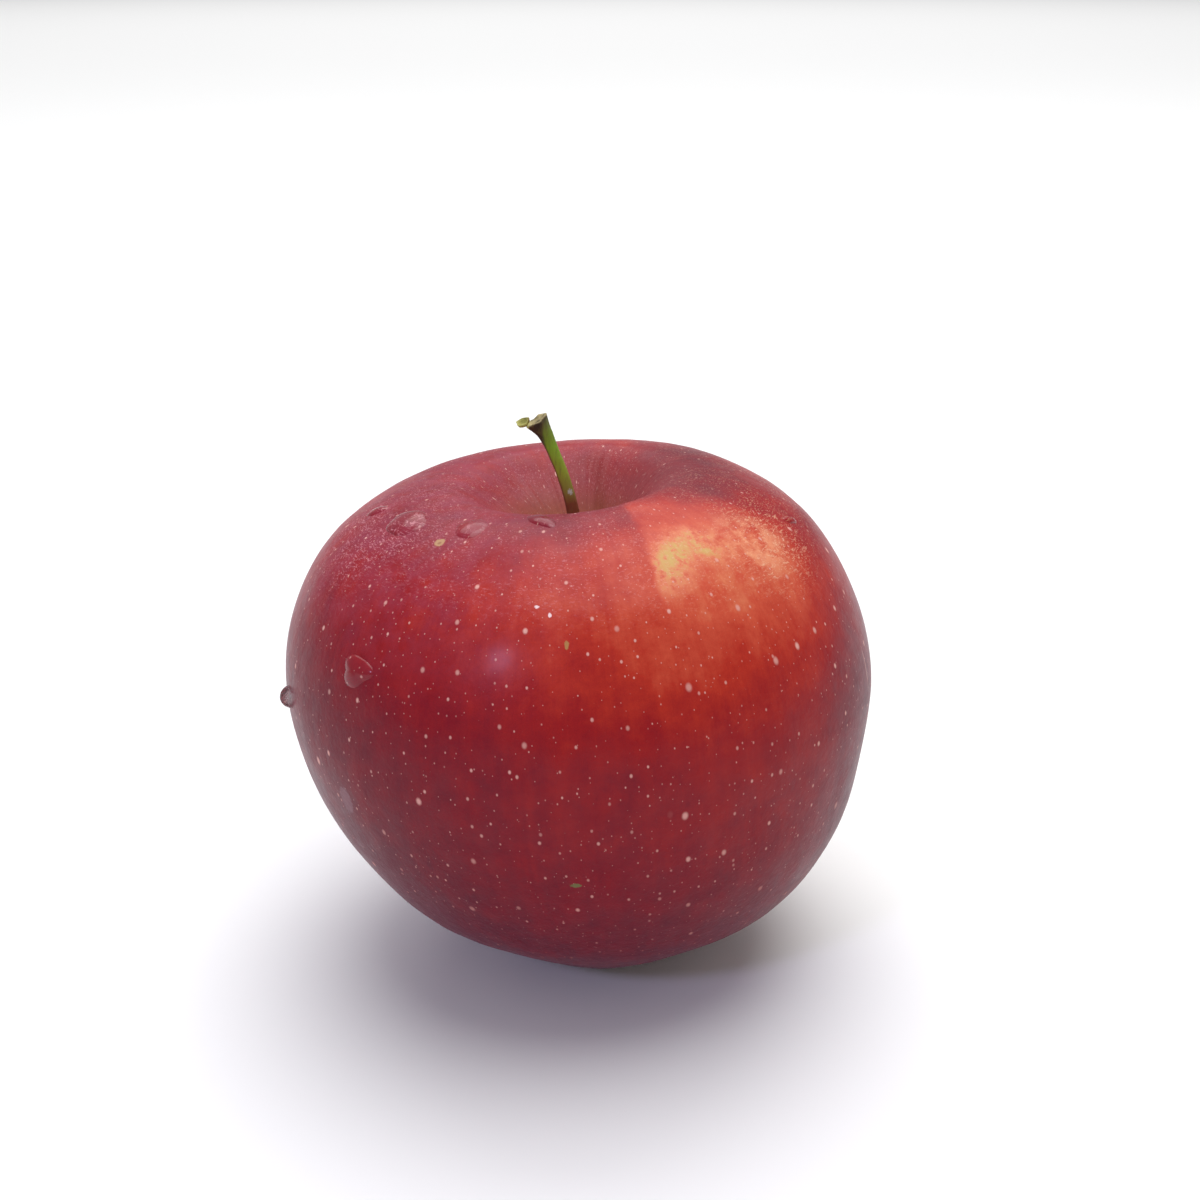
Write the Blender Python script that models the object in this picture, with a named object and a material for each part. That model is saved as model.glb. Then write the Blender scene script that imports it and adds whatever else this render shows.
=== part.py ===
"""A red apple as picked: the whole fruit, its stem, and the dried flower parts in the basin under it.

Metres, +Z up. The origin is under the middle of the fruit, on the surface that it rests on. The fruit
stands on the small flat spots of its five base lobes. It is drawn as an outline of radius and height,
swept round Z, then given the five lobes, the slight oval and the leaning shoulders that a real apple
has. The stem, the five dried sepals and the tuft of dried stamens are swept along short lines of their
own, with a hair's gap to the fruit.
"""

import math

import bmesh
import bpy
from mathutils import Matrix, Vector

MM = 0.001

# Driving dimensions.
FRUIT_DIAMETER = 80.0 * MM
FRUIT_HEIGHT = 69.0 * MM
STEM_DIAMETER = 1.7 * MM
SEPAL_WIDTH = 2.2 * MM
SEPAL_THICKNESS = 0.45 * MM
GAP = 0.3 * MM

HALF_WIDTH = FRUIT_DIAMETER / 2

# The fruit's outline from the stem's socket, over the shoulder and down to the calyx basin, as
# (share of the half width, share of the height).
SOCKET_RADIUS = 0.034
OUTLINE = [
    (SOCKET_RADIUS, 0.815),
    (0.060, 0.828),
    (0.130, 0.870),
    (0.225, 0.940),
    (0.340, 0.994),
    (0.450, 1.000),
    (0.620, 0.972),
    (0.810, 0.897),
    (0.944, 0.768),
    (1.000, 0.635),
    (0.982, 0.500),
    (0.915, 0.355),
    (0.775, 0.216),
    (0.600, 0.124),
    (0.450, 0.063),
    (0.350, 0.026),
    (0.275, 0.000),
    (0.190, 0.018),
    (0.128, 0.052),
    (0.088, 0.080),
]
SOCKET_FLOOR = 0.770
CALYX_TUBE_RADIUS = 0.056
CALYX_TUBE_MOUTH = 0.084
CALYX_TUBE_FLOOR = 0.123

# How far the real fruit leaves a round, even shape.
BASE_LOBE = 0.016
SHOULDER_LOBE = 0.008
LOBE_TURN = math.radians(-86)
LOBE_DROP = 0.9 * MM
OVAL = 0.008
OVAL_TURN = math.radians(20)
SHOULDER_TILT = 1.2 * MM
TOP_SHIFT = -1.4 * MM
BASE_SHIFT = 2.3 * MM
RESTING_FLAT = 0.45 * MM

# The eye of the fruit, where the dried flower parts sit, is off the stem's axis.
EYE = Vector((BASE_SHIFT, 0, 0))

# The stem's line up from its seat, as (lean along X, rise) in mm and its width in stem diameters.
STEM_LINE = [
    (0.0, 0.0, 1.08),
    (0.0, 3.0, 1.08),
    (-0.3, 6.5, 1.00),
    (-1.0, 11.5, 0.98),
    (-2.2, 16.0, 0.94),
    (-3.6, 19.7, 0.98),
    (-4.45, 21.7, 1.16),
    (-5.15, 22.9, 1.52),
    (-5.75, 23.8, 1.95),
]
STEM_SCAR_WIDTH = 0.70
STEM_SCAR_DEPTH = 0.3 * MM
FLAP_PLACE = Vector((-7.45, 0.0, 23.5)) * MM
FLAP_RADII = (0.90 * MM, 0.90 * MM, 0.50 * MM)

# A sepal's line from its root to its curled tip, as (distance from the eye's axis, height) in mm and
# its width in sepal widths.
SEPAL_LINE = [
    (3.20, 4.68, 0.85),
    (2.50, 4.30, 1.00),
    (2.12, 3.50, 1.00),
    (2.22, 2.65, 0.86),
    (2.90, 1.85, 0.66),
    (3.90, 1.40, 0.42),
    (4.60, 1.55, 0.14),
]
SEPAL_TIP_REACH = (0.0, 0.7, -0.5, 0.4, -0.2)

# The stamen tuft's outline from inside the calyx tube to its tip, as (radius, height) in mm.
STAMEN_OUTLINE = [(1.50, 7.85), (1.85, 7.40), (1.85, 5.80), (1.35, 4.80), (0.90, 4.10), (0.70, 3.30)]

SEGMENTS = 50
STEPS_PER_SPAN = 2
STEM_SIDES = 14
SEPAL_SIDES = 8
STAMEN_SIDES = 16

SKIN_RED = (0.42, 0.03, 0.04, 1)
STEM_GREEN = (0.22, 0.25, 0.04, 1)
SEPAL_BROWN = (0.20, 0.13, 0.06, 1)
STAMEN_BROWN = (0.10, 0.06, 0.03, 1)


def clear_scene():
    for item in list(bpy.data.objects):
        bpy.data.objects.remove(item, do_unlink=True)


def finish(name, colour, roughness):
    material = bpy.data.materials.new(name)
    material.use_nodes = True
    shader = material.node_tree.nodes["Principled BSDF"]
    shader.inputs["Base Color"].default_value = colour
    shader.inputs["Roughness"].default_value = roughness
    shader.inputs["Metallic"].default_value = 0
    return material


def smooth_step(low, high, value):
    share = min(1.0, max(0.0, (value - low) / (high - low)))
    return share * share * (3 - 2 * share)


def smooth_through(points, steps):
    """Points on the Catmull-Rom curve through these, with this many steps in each span."""
    points = [Vector(point) for point in points]
    padded = [2 * points[0] - points[1], *points, 2 * points[-1] - points[-2]]
    curve = []
    for before, start, end, after in zip(padded, padded[1:], padded[2:], padded[3:]):
        for step in range(steps):
            t = step / steps
            curve.append(
                0.5
                * (
                    2 * start
                    + (end - before) * t
                    + (2 * before - 5 * start + 4 * end - after) * t**2
                    + (3 * start - before - 3 * end + after) * t**3
                )
            )
    return [*curve, points[-1]]


def height_at(height_share):
    """The height of this share of the outline, which runs a little under the resting surface."""
    return (FRUIT_HEIGHT + RESTING_FLAT) * height_share - RESTING_FLAT


def skin_point(radius_share, height_share, turn):
    """The point of the fruit's skin that this point of the outline reaches, at this turn about Z."""
    outside = smooth_step(0.06, 0.32, radius_share)
    upper = smooth_step(0.55, 1.0, height_share) * outside
    lower = 1 - smooth_step(0.13, 0.60, height_share)
    underside = (1 - smooth_step(0.0, 0.18, height_share)) * outside
    five = math.cos(5 * (turn - LOBE_TURN))
    oval = OVAL * math.cos(2 * (turn - OVAL_TURN)) * outside
    radius = HALF_WIDTH * radius_share * (1 + oval + (BASE_LOBE * underside + SHOULDER_LOBE * upper) * five)
    height = height_at(height_share)
    height += SHOULDER_TILT * math.cos(turn) * upper + LOBE_DROP * (1 - five) / 2 * underside
    shift = TOP_SHIFT * upper + BASE_SHIFT * lower
    return Vector((radius * math.cos(turn) + shift, radius * math.sin(turn), max(height, 0.0)))


def sweep(stations, across, sides):
    """Rings along a line in a plane. A station is its centre, half width across and half thickness."""
    rings = []
    for index, (centre, half_width, half_thickness) in enumerate(stations):
        before = stations[max(index - 1, 0)][0]
        after = stations[min(index + 1, len(stations) - 1)][0]
        inward = across.cross((after - before).normalized())
        turns = [math.tau * side / sides for side in range(sides)]
        rings.append(
            [
                centre + across * half_width * math.cos(turn) + inward * half_thickness * math.sin(turn)
                for turn in turns
            ]
        )
    return rings


def middle(ring):
    return sum(ring, Vector((0, 0, 0))) / len(ring)


def add_piece(name, rings, first_end, last_end, material):
    """A closed piece with a skin of equal rings, each end drawn to one point."""
    count = len(rings[0])
    points = [point for ring in rings for point in ring] + [first_end, last_end]
    first_index, last_index = len(points) - 2, len(points) - 1
    last_row = (len(rings) - 1) * count
    faces = []
    for column in range(count):
        beside = (column + 1) % count
        for row in range(0, last_row, count):
            faces.append((row + column, row + count + column, row + count + beside, row + beside))
        faces.append((first_index, column, beside))
        faces.append((last_index, last_row + beside, last_row + column))
    mesh = bpy.data.meshes.new(name)
    mesh.from_pydata([tuple(point) for point in points], [], faces)
    mesh.materials.append(material)
    face_outwards(mesh)
    mesh.shade_smooth()
    piece = bpy.data.objects.new(name, mesh)
    bpy.context.scene.collection.objects.link(piece)
    return piece


def face_outwards(mesh):
    work = bmesh.new()
    work.from_mesh(mesh)
    bmesh.ops.recalc_face_normals(work, faces=work.faces)
    work.to_mesh(mesh)
    work.free()


def make_fruit():
    """The whole fruit in one piece, with the stem's socket above and the calyx tube below."""
    outline = [
        (SOCKET_RADIUS, SOCKET_FLOOR),
        *smooth_through(OUTLINE, STEPS_PER_SPAN),
        (CALYX_TUBE_RADIUS, CALYX_TUBE_MOUTH),
        (CALYX_TUBE_RADIUS, CALYX_TUBE_FLOOR),
    ]
    turns = [math.tau * step / SEGMENTS for step in range(SEGMENTS)]
    rings = [[skin_point(radius, height, turn) for turn in turns] for radius, height in outline]
    skin = finish("apple_skin", SKIN_RED, 0.35)
    return add_piece("fruit", rings, middle(rings[0]), middle(rings[-1]), skin)


def make_flap():
    """The curled scrap of bark at the torn end, as a guide shape that the stem is joined with."""
    mesh = bpy.data.meshes.new("stem_flap")
    work = bmesh.new()
    place = Matrix.Translation(FLAP_PLACE + Vector((0, 0, height_at(SOCKET_FLOOR))))
    shape = place @ Matrix.Diagonal((*FLAP_RADII, 1))
    bmesh.ops.create_uvsphere(work, u_segments=12, v_segments=8, radius=1, matrix=shape)
    work.to_mesh(mesh)
    work.free()
    flap = bpy.data.objects.new("stem_flap", mesh)
    flap.hide_render = True
    flap.display_type = "WIRE"
    bpy.context.scene.collection.objects.link(flap)
    return flap


def make_stem():
    """The stem, from its seat in the socket to the flared end that tore off the spur."""
    seat = height_at(SOCKET_FLOOR) + GAP
    stations = []
    for lean, rise, width in smooth_through(STEM_LINE, STEPS_PER_SPAN):
        half = STEM_DIAMETER * width / 2
        stations.append((Vector((lean * MM, 0, seat + rise * MM)), half, half))
    rings = sweep(stations, Vector((0, 1, 0)), STEM_SIDES)
    end = stations[-1][0]
    back = (stations[-2][0] - end).normalized() * STEM_SCAR_DEPTH
    rings.append([end + (point - end) * STEM_SCAR_WIDTH + back for point in rings[-1]])
    stem = add_piece("stem", rings, middle(rings[0]), middle(rings[-1]), finish("stem_bark", STEM_GREEN, 0.6))
    join = stem.modifiers.new("join_flap", "BOOLEAN")
    join.operation = "UNION"
    join.object = make_flap()
    return stem


def make_sepals():
    """Five dried sepals round the eye of the fruit, each rooted at the tube's mouth and curled outwards."""
    brown = finish("sepal", SEPAL_BROWN, 0.8)
    sepals = []
    for number, reach in enumerate(SEPAL_TIP_REACH):
        turn = LOBE_TURN + math.tau * number / len(SEPAL_TIP_REACH)
        outward = Vector((math.cos(turn), math.sin(turn), 0))
        across = Vector((-math.sin(turn), math.cos(turn), 0))
        *root, tip = SEPAL_LINE
        line = [*root, (tip[0] + reach, tip[1], tip[2])]
        stations = []
        for distance, height, width in smooth_through(line, STEPS_PER_SPAN):
            centre = EYE + outward * distance * MM + Vector((0, 0, height * MM))
            stations.append((centre, SEPAL_WIDTH * width / 2, SEPAL_THICKNESS / 2))
        rings = sweep(stations, across, SEPAL_SIDES)
        name = f"sepal_{number + 1}"
        sepals.append(add_piece(name, rings, middle(rings[0]), middle(rings[-1]), brown))
    return sepals


def make_stamen_tuft():
    """The dried stamens, as one plug that fills the calyx tube and narrows to a tip between the sepals."""
    stations = []
    for radius, height in STAMEN_OUTLINE:
        stations.append((EYE + Vector((0, 0, height * MM)), radius * MM, radius * MM))
    rings = sweep(stations, Vector((1, 0, 0)), STAMEN_SIDES)
    return add_piece(
        "stamen_tuft", rings, middle(rings[0]), middle(rings[-1]), finish("stamen", STAMEN_BROWN, 0.9)
    )


def centre_on_axis(pieces):
    """Move everything so that the middle of the fruit's width and depth is on Z."""
    points = [vertex.co for vertex in pieces[0].data.vertices]
    low, high = (Vector(pick(point[axis] for point in points) for axis in range(2)) for pick in (min, max))
    home = Matrix.Translation((-(low + high) / 2).to_3d())
    for piece in pieces:
        piece.data.transform(home)


clear_scene()
fruit = make_fruit()
stem = make_stem()
centre_on_axis([fruit, stem, bpy.data.objects["stem_flap"], *make_sepals(), make_stamen_tuft()])
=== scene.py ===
# %% [markdown]
# # A red apple
#
# This lesson finishes one apple around a plain model that is already the right size. The plain model
# holds the whole fruit, its stem, five dried sepals and a tuft of dried stamens, each as a simple closed
# solid. We make the fine surfaces that an eye expects: skin with its dots and its blush, bark, dry leaf
# and a few drops of water. Nothing here moves or resizes the plain model. Every place is read from it.

# %% Load the plain model as a fixed frame
import math

import bmesh
import bpy
from mathutils import Matrix, Vector


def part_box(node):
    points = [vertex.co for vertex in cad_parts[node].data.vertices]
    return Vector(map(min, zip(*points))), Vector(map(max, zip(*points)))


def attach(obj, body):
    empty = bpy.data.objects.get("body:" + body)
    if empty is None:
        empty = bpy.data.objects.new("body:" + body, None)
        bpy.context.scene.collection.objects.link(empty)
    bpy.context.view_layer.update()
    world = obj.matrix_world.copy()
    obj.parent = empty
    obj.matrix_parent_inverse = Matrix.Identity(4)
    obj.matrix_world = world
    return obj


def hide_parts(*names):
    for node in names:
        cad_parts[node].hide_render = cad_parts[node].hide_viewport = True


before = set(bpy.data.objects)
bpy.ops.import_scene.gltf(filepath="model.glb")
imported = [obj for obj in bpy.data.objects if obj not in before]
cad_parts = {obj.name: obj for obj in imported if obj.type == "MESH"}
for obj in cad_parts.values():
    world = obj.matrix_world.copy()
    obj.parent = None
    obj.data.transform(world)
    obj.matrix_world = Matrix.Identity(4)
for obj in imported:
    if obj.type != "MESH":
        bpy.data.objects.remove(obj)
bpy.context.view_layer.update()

MM = 0.001
fruit_low, fruit_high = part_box("fruit")
stem_low, stem_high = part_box("stem")
print("fruit", [round(side / MM, 1) for side in fruit_high - fruit_low], "mm")
print("stem", [round(side / MM, 1) for side in stem_high - stem_low], "mm")

# %% [markdown]
# ## Sums on sockets
#
# Both the fruit's shape and its skin are rules, and a rule is easiest to read as arithmetic. Blender keeps
# arithmetic in Math nodes, one for each sign. Drawing those by hand hides the rule, so a small class wraps
# a socket and adds the Math node for us when Python meets a plus or a times. It works in a Geometry Nodes
# tree and in a material alike, because both use the same Math node.

# %% A socket that Python can reckon with


def find_socket(sockets, name):
    """The socket with this index, identifier or name."""
    if isinstance(name, int):
        return sockets[name]
    return next((s for s in sockets if s.identifier == name), None) or sockets[name]


class Value:
    """The value that comes out of one socket."""

    def __init__(self, graph, socket):
        self.graph, self.socket = graph, socket

    def sum(self, operation, *numbers, clamp=False):
        settings = {"operation": operation, "use_clamp": clamp}
        node = self.graph.node("ShaderNodeMath", settings, dict(enumerate(numbers)))
        return Value(self.graph, node.outputs[0])

    def __add__(self, other):
        return self.sum("ADD", self, other)

    def __sub__(self, other):
        return self.sum("SUBTRACT", self, other)

    def __rsub__(self, other):
        return self.sum("SUBTRACT", other, self)

    def __mul__(self, other):
        return self.sum("MULTIPLY", self, other)

    def __truediv__(self, other):
        return self.sum("DIVIDE", self, other)

    def __rtruediv__(self, other):
        return self.sum("DIVIDE", other, self)

    def __pow__(self, other):
        return self.sum("POWER", self, other)

    __radd__ = __add__
    __rmul__ = __mul__

    def cosine(self):
        return self.sum("COSINE", self)

    def sine(self):
        return self.sum("SINE", self)

    def clamped(self):
        return self.sum("ADD", self, 0.0, clamp=True)

    def angle_of(self, other):
        """The angle whose sine and cosine are in the ratio of this value to the other one."""
        return self.sum("ARCTAN2", self, other)

    def at_least(self, other):
        return self.sum("MAXIMUM", self, other)

    def step(self, low, high):
        """0 below low, 1 above high, and a smooth rise between them. With low above high it falls."""
        inputs = {"Value": self, "From Min": low, "From Max": high}
        if low > high:
            inputs = {"Value": self, "From Min": high, "From Max": low, "To Min": 1.0, "To Max": 0.0}
        smooth = {"interpolation_type": "SMOOTHSTEP"}
        return self.graph.value("ShaderNodeMapRange", "Result", smooth, inputs)


print("sums on sockets:", [name for name in vars(Value) if not name.startswith("_")])

# %% A tree to put nodes in

NODES_PER_ROW = 14


class Graph:
    """A node tree that is being drawn."""

    def __init__(self, tree):
        self.tree = tree

    def node(self, kind, settings=None, inputs=None):
        """Add a node: first its settings, then a number or a link for each socket that is named."""
        made = self.tree.nodes.new(kind)
        count = len(self.tree.nodes)
        made.location = (220 * (count % NODES_PER_ROW), -320 * (count // NODES_PER_ROW))
        for name, setting in (settings or {}).items():
            if name == "stops":
                self.set_stops(made.color_ramp, setting)
            else:
                setattr(made, name, setting)
        for name, content in (inputs or {}).items():
            socket = find_socket(made.inputs, name)
            if isinstance(content, Value):
                self.tree.links.new(content.socket, socket)
            else:
                socket.default_value = content
        return made

    def set_stops(self, ramp, stops):
        """Give a colour ramp these pairs of a position and a colour."""
        while len(ramp.elements) < len(stops):
            ramp.elements.new(1.0)
        for element, (position, colour) in zip(ramp.elements, stops):
            element.position, element.color = position, colour

    def value(self, kind, output, settings=None, inputs=None):
        """Add a node, and keep the one output that is wanted."""
        node = self.node(kind, settings, inputs)
        return Value(self, find_socket(node.outputs, output))

    def vector(self, operation, *numbers, output="Vector"):
        """A sum on whole vectors."""
        settings = {"operation": operation}
        return self.value("ShaderNodeVectorMath", output, settings, dict(enumerate(numbers)))

    def scaled(self, vector, factors):
        return self.vector("MULTIPLY", vector, factors)

    def parts(self, vector):
        node = self.node("ShaderNodeSeparateXYZ", None, {0: vector})
        return [Value(self, socket) for socket in node.outputs]

    def joined(self, x, y, z):
        return self.value("ShaderNodeCombineXYZ", 0, None, {0: x, 1: y, 2: z})

    def blend(self, factor, first, second, blend_type="MIX"):
        """First colour where the factor is 0, second where it is 1."""
        settings = {"data_type": "RGBA", "blend_type": blend_type}
        inputs = {"Factor_Float": factor, "A_Color": first, "B_Color": second}
        return self.value("ShaderNodeMix", "Result_Color", settings, inputs)

    def noise(self, vector, scale, detail=2.0, roughness=0.5, distortion=0.0):
        inputs = {
            "Vector": vector,
            "Scale": scale,
            "Detail": detail,
            "Roughness": roughness,
            "Distortion": distortion,
        }
        return self.value("ShaderNodeTexNoise", 0, None, inputs)


print("a graph can add:", [name for name in vars(Graph) if not name.startswith("_")])

# %% [markdown]
# ## The fruit's shape as a rule
#
# An apple is an outline turned round an axis, and then disturbed: five lobes at the base, a slight oval,
# one shoulder higher than the other. We could model it by hand, but the rule is short and gives us as many
# faces as we like. A Geometry Nodes tree takes the outline as a curve. It bends a flat grid round it: one
# side of the grid runs round the fruit, the other runs along the outline. The tree also stores where each
# point grew, so that the skin's dots can follow the growth and crowd together in the stem's hollow.

# %% The outline, and a curve through it

SOCKET_RADIUS = 0.034
OUTLINE = [
    (SOCKET_RADIUS, 0.815),
    (0.060, 0.828),
    (0.130, 0.870),
    (0.225, 0.940),
    (0.340, 0.994),
    (0.450, 1.000),
    (0.620, 0.972),
    (0.810, 0.897),
    (0.944, 0.768),
    (1.000, 0.635),
    (0.982, 0.500),
    (0.915, 0.355),
    (0.775, 0.216),
    (0.600, 0.124),
    (0.450, 0.063),
    (0.350, 0.026),
    (0.275, 0.000),
    (0.190, 0.018),
    (0.128, 0.052),
    (0.088, 0.080),
]
SOCKET_FLOOR = 0.770
TUBE_RADIUS = 0.056
TUBE_MOUTH = 0.084
TUBE_FLOOR = 0.123
STEPS_PER_SPAN = 8


def smooth_through(points, steps):
    """Points on the Catmull-Rom curve through these, with this many steps in each span."""
    points = [Vector(point) for point in points]
    padded = [2 * points[0] - points[1], *points, 2 * points[-1] - points[-2]]
    curve = []
    for before, start, end, after in zip(padded, padded[1:], padded[2:], padded[3:]):
        for step in range(steps):
            t = step / steps
            linear = (end - before) * t
            square = (2 * before - 5 * start + 4 * end - after) * t**2
            cube = (3 * start - before - 3 * end + after) * t**3
            curve.append(0.5 * (2 * start + linear + square + cube))
    return [*curve, points[-1]]


def add_object(name, data):
    """An object at the origin that shows this data."""
    made = bpy.data.objects.new(name, data)
    bpy.context.scene.collection.objects.link(made)
    return made


def add_curve(name, points, radii=None):
    """A curve object of straight spans through these points."""
    curve = bpy.data.curves.new(name, "CURVE")
    curve.dimensions = "3D"
    spline = curve.splines.new("POLY")
    spline.points.add(len(points) - 1)
    for index, point in enumerate(points):
        spline.points[index].co = (*point, 1)
        spline.points[index].radius = radii[index] if radii else 1
    return add_object(name, curve)


outline = [(0, SOCKET_FLOOR), (SOCKET_RADIUS, SOCKET_FLOOR), *smooth_through(OUTLINE, STEPS_PER_SPAN)]
outline += [(TUBE_RADIUS, TUBE_MOUTH), (TUBE_RADIUS, TUBE_FLOOR), (0, TUBE_FLOOR)]
print("outline of", len(outline), "points")

# %% The sizes that the rule needs

FRUIT_SIZES = {
    "Half Width": 40.0 * MM,
    "Height": 69.0 * MM,
    "Resting Flat": 0.45 * MM,
    "Base Lobe": 0.016,
    "Shoulder Lobe": 0.008,
    "Lobe Turn": math.radians(-86),
    "Lobe Drop": 0.9 * MM,
    "Oval": 0.008,
    "Oval Turn": math.radians(20),
    "Shoulder Tilt": 1.2 * MM,
    "Top Shift": -1.4 * MM,
    "Base Shift": 2.3 * MM,
    "Lump Depth": 0.34 * MM,
    "Crease Depth": 0.22 * MM,
}
COLUMNS, ROWS = 420, 230
MERGE_DISTANCE = 1e-6
FULL_HEIGHT = FRUIT_SIZES["Height"] + FRUIT_SIZES["Resting Flat"]
OUTLINE_LENGTH = sum(
    math.hypot((b[0] - a[0]) * FRUIT_SIZES["Half Width"], (b[1] - a[1]) * FULL_HEIGHT)
    for a, b in zip(outline, outline[1:])
)
print("the outline is", round(OUTLINE_LENGTH / MM, 1), "mm long from stem to eye")

# %% A new tree, its end, and a way to keep what it grows


def new_tree(name, sizes, counts):
    """An empty Geometry Nodes tree with a named input for every size, count and material."""
    tree = bpy.data.node_groups.new(name, "GeometryNodeTree")
    interface = tree.interface
    interface.new_socket("Geometry", in_out="INPUT", socket_type="NodeSocketGeometry")
    for size in sizes:
        interface.new_socket(size, in_out="INPUT", socket_type="NodeSocketFloat")
    for count in counts:
        interface.new_socket(count, in_out="INPUT", socket_type="NodeSocketInt")
    interface.new_socket("Material", in_out="INPUT", socket_type="NodeSocketMaterial")
    interface.new_socket("Geometry", in_out="OUTPUT", socket_type="NodeSocketGeometry")
    graph = Graph(tree)
    entry = graph.node("NodeGroupInput")
    inputs = {socket.name: Value(graph, socket) for socket in entry.outputs if socket.name}
    return graph, inputs


def close_tree(graph, geometry, material):
    """Every tree ends alike: real geometry, smooth faces and one material."""
    real = graph.value("GeometryNodeRealizeInstances", 0, None, {0: geometry})
    smooth = graph.value("GeometryNodeSetShadeSmooth", 0, None, {0: real})
    paint = {"Geometry": smooth, "Material": material}
    dressed = graph.value("GeometryNodeSetMaterial", 0, None, paint)
    graph.node("NodeGroupOutput", None, {"Geometry": dressed})
    print(graph.tree.name, "has", len(graph.tree.nodes), "nodes")


def volume_of(mesh):
    """The volume inside a closed mesh. It is negative when the faces look inward."""
    work = bmesh.new()
    work.from_mesh(mesh)
    volume = work.calc_volume(signed=True)
    work.free()
    return volume


def grow(source, graph, settings, name):
    """Run a tree on an object with these inputs, and keep the result as a plain mesh object."""
    modifier = source.modifiers.new(name, "NODES")
    modifier.node_group = graph.tree
    for item in graph.tree.interface.items_tree:
        if item.in_out == "INPUT" and item.name in settings:
            modifier[item.identifier] = settings[item.name]
    bpy.context.view_layer.update()
    evaluated = source.evaluated_get(bpy.context.evaluated_depsgraph_get())
    mesh = bpy.data.meshes.new_from_object(evaluated)
    mesh.name = name
    source.modifiers.remove(modifier)
    bpy.data.objects.remove(source)
    mesh.materials.clear()
    mesh.materials.append(settings["Material"])
    mesh.polygons.foreach_set("material_index", [0] * len(mesh.polygons))
    if volume_of(mesh) < 0:
        mesh.flip_normals()
    piece = add_object(name, mesh)
    mesh.calc_loop_triangles()
    print(name, "has", len(mesh.loop_triangles), "triangles")
    return piece


# %% The flat grid, bent round the outline


def store(graph, geometry, name, vector):
    """Write a vector on every point, under a name that a material can read."""
    settings = {"data_type": "FLOAT_VECTOR", "domain": "POINT"}
    inputs = {"Geometry": geometry, "Name": name, "Value": vector}
    return graph.value("GeometryNodeStoreNamedAttribute", 0, settings, inputs)


def move(graph, geometry, **how):
    """Move every point to a Position, or by an Offset."""
    return graph.value("GeometryNodeSetPosition", 0, None, {"Geometry": geometry, **how})


def push_out(graph, geometry, distance):
    """Move every point along its own normal."""
    normal = graph.value("GeometryNodeInputNormal", "Normal")
    scaling = {0: normal, "Scale": distance}
    offset = graph.value("ShaderNodeVectorMath", 0, {"operation": "SCALE"}, scaling)
    return move(graph, geometry, Offset=offset)


def draw_turned_outline(graph, given):
    """The flat grid, bent round the outline by the apple's rule."""
    size = {"Size X": 1.0, "Size Y": 1.0, "Vertices X": given["Columns"], "Vertices Y": given["Rows"]}
    grid = graph.value("GeometryNodeMeshGrid", "Mesh", None, size)
    around, along, _ = graph.parts(graph.value("GeometryNodeInputPosition", 0))
    turn = (around + 0.5) * math.tau
    share = 0.5 - along
    sample = {"Curves": given["Geometry"], "Factor": share}
    on_outline = graph.value("GeometryNodeSampleCurve", "Position", {"mode": "FACTOR"}, sample)
    radius_share, _, height_share = graph.parts(on_outline)

    outside = radius_share.step(0.06, 0.32)
    upper = height_share.step(0.55, 1.0) * outside
    lower = height_share.step(0.60, 0.13)
    underside = height_share.step(0.18, 0.0) * outside
    five = ((turn - given["Lobe Turn"]) * 5).cosine()
    oval = given["Oval"] * ((turn - given["Oval Turn"]) * 2).cosine() * outside
    lobes = (given["Base Lobe"] * underside + given["Shoulder Lobe"] * upper) * five
    radius = given["Half Width"] * radius_share * (1 + oval + lobes)
    height = (given["Height"] + given["Resting Flat"]) * height_share - given["Resting Flat"]
    tilt = given["Shoulder Tilt"] * turn.cosine() * upper
    drop = given["Lobe Drop"] * (1 - five) / 2 * underside
    shift = given["Top Shift"] * upper + given["Base Shift"] * lower
    place = graph.joined(
        radius * turn.cosine() + shift, radius * turn.sine(), (height + tilt + drop).at_least(0.0)
    )
    girth = given["Half Width"]
    growth = graph.joined(girth * turn.cosine(), girth * turn.sine(), share * OUTLINE_LENGTH)
    return move(graph, store(graph, grid, "growth", growth), Position=place)


# %% The unevenness, and the whole tree


def draw_unevenness(graph, given):
    """How far the skin stands out: soft lumps, ribs from stem to eye, creases in the hollow."""
    here = graph.value("GeometryNodeInputPosition", 0)
    grown = {"data_type": "FLOAT_VECTOR"}
    growth = graph.value("GeometryNodeInputNamedAttribute", "Attribute", grown, {"Name": "growth"})
    x, y, z = graph.parts(here)
    radius = (x * x + y * y) ** 0.5
    lumps = (graph.noise(here, 45.0) - 0.5) * given["Lump Depth"] * 2
    ribs = (graph.noise(graph.scaled(growth, (1, 1, 0.06)), 150.0) - 0.5) * given["Lump Depth"] / 2
    creases = (graph.noise(graph.scaled(growth, (1, 1, 0.05)), 260.0) - 0.5) * given["Crease Depth"] * 2
    in_hollow = radius.step(17.0 * MM, 7.0 * MM) * z.step(40.0 * MM, 50.0 * MM)
    clear_of_ends = radius.step(2.0 * MM, 4.8 * MM)
    clear_of_floor = z.step(1.5 * MM, 9.0 * MM)
    return (lumps + ribs + creases * in_hollow) * clear_of_ends * clear_of_floor


def draw_fruit_tree():
    """From a flat grid to a fruit: bend it, close its seam, then push the skin in and out."""
    graph, given = new_tree("apple_surface", FRUIT_SIZES, ("Columns", "Rows"))
    turned = draw_turned_outline(graph, given)
    seam = {"Geometry": turned, "Distance": MERGE_DISTANCE}
    closed = graph.value("GeometryNodeMergeByDistance", 0, None, seam)
    uneven = push_out(graph, closed, draw_unevenness(graph, given))
    close_tree(graph, uneven, given["Material"])
    return graph


fruit_tree = draw_fruit_tree()

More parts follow.
